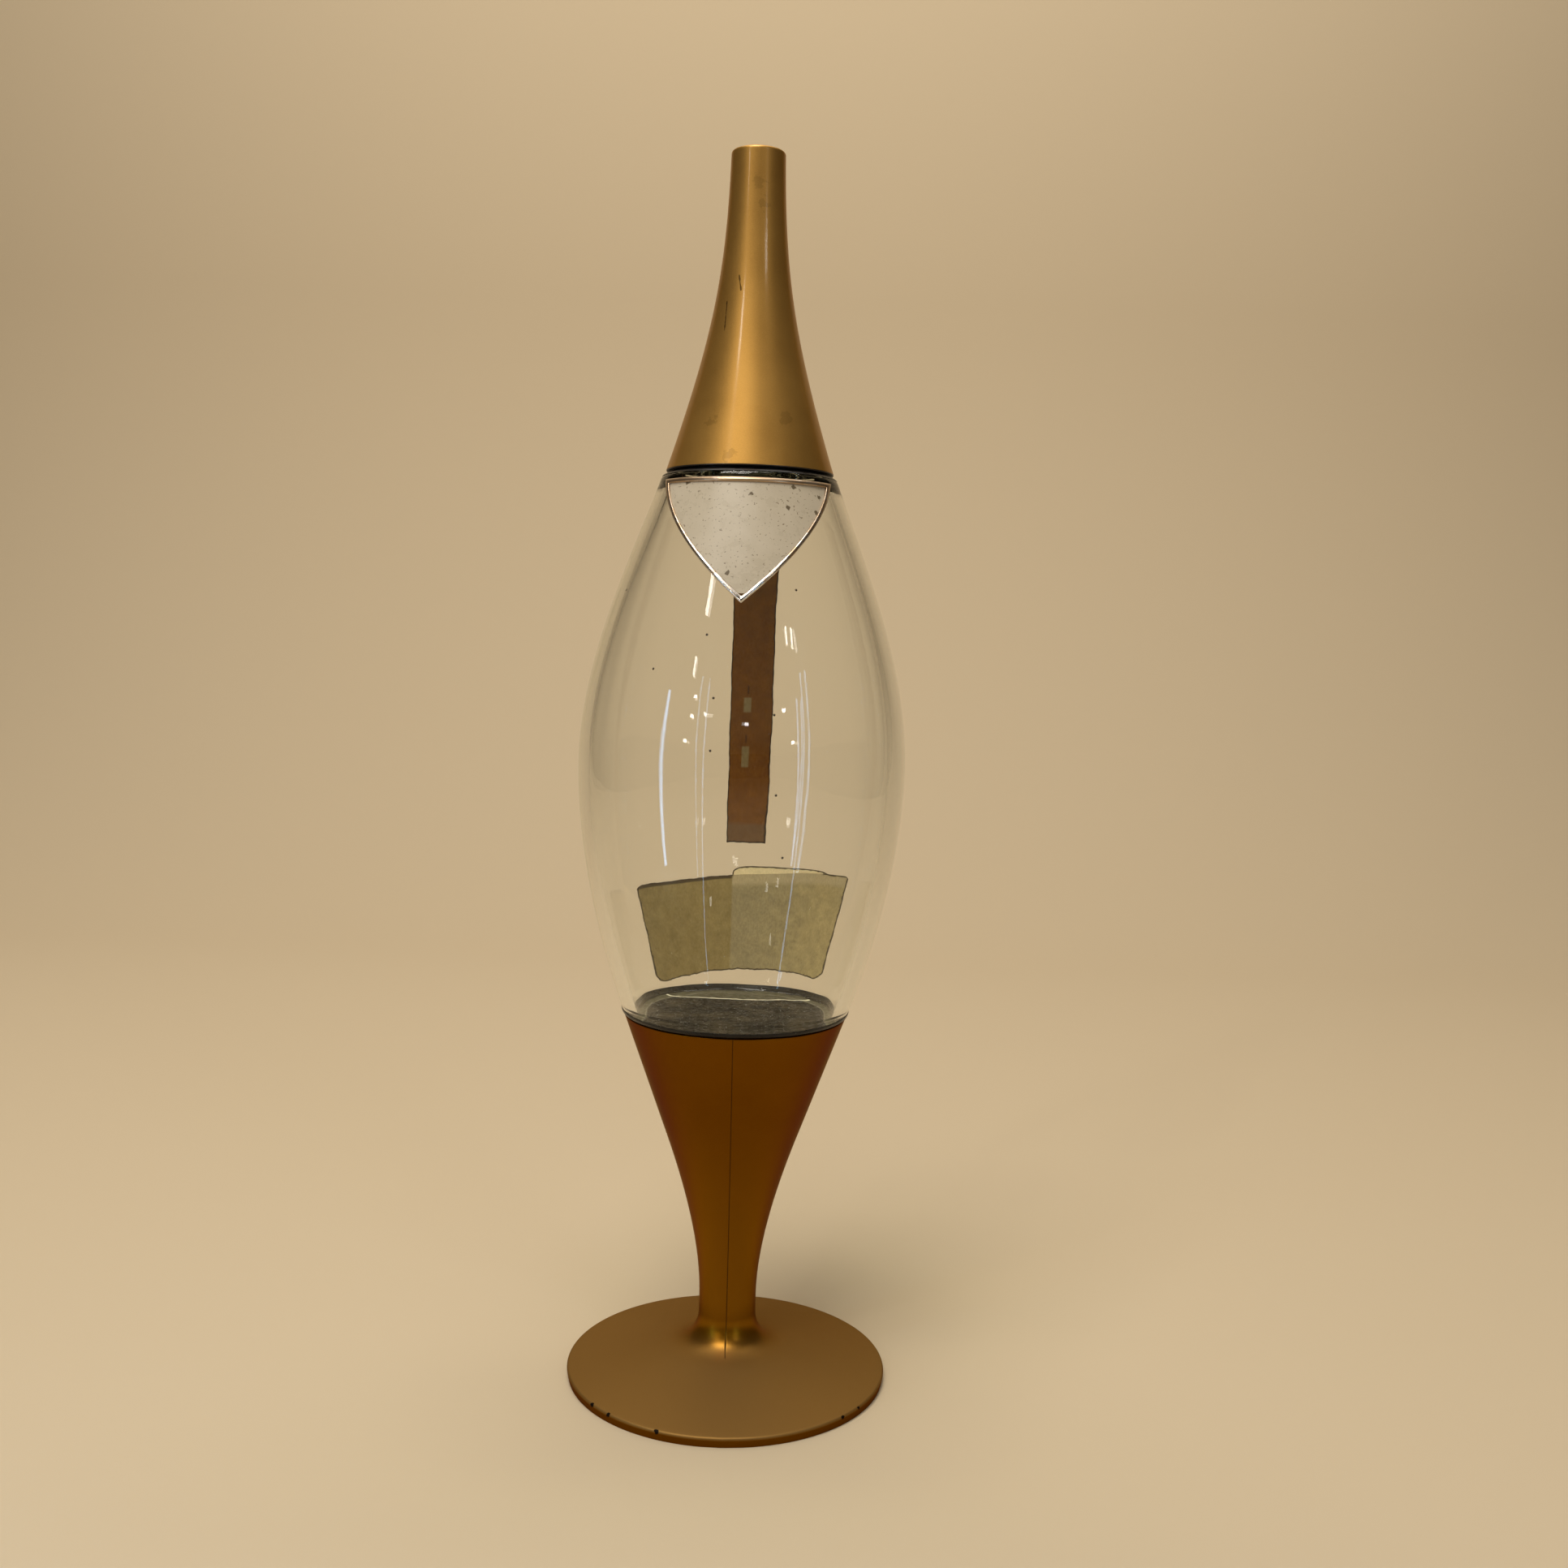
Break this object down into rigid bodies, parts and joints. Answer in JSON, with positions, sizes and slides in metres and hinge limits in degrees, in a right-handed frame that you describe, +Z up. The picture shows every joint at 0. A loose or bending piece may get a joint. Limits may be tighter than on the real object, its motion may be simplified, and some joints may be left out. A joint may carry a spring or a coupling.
{
  "type": "glass decanter on a pedestal",
  "caption": "Spindle-shaped clear glass decanter on a gilt trumpet pedestal, closed by a gilt cone cap with a cork; the cap pulls off and the bottle lifts out.",
  "frame": {"origin": "centre of the foot on the surface it stands on", "axes": "+Z up along the bottle's axis; the shield faces -Y, the paper labels are on the +Y side"},
  "size_m": [0.1008, 0.1013, 0.378],
  "materials": {
    "pedestal_gilt": "satin gold paint on black plastic, chipped at the foot's edge",
    "clear_glass": "clear moulded glass, faintly green and slightly wavy",
    "shield_enamel": "worn off-white fired enamel with fine dark specks",
    "brown_paper": "aged brown strip of gummed paper",
    "olive_paper": "aged olive-brown gummed paper",
    "pale_paper": "thin aged tan paper",
    "cap_gilt": "satin gold paint on black plastic, with fine scratches",
    "black_plastic": "bare black plastic",
    "cork": "natural cork"
  },
  "bodies": {
    "pedestal": {"pedestal": "pedestal_gilt"},
    "bottle": {"glass_bottle": "clear_glass", "shield_enamel": "shield_enamel", "strip_label": "brown_paper", "back_label": "olive_paper", "over_label": "pale_paper"},
    "cap": {"cap_cone": "cap_gilt", "stopper_body": "black_plastic", "stopper_cork": "cork"}
  },
  "joints": [
    {"name": "bottle_lift", "type": "slide", "parent": "pedestal", "child": "bottle", "axis": [0, 0, 1], "range_m": [0, 0.03]},
    {"name": "cap_lift", "type": "slide", "parent": "bottle", "child": "cap", "axis": [0, 0, 1], "range_m": [0, 0.045]}
  ]
}
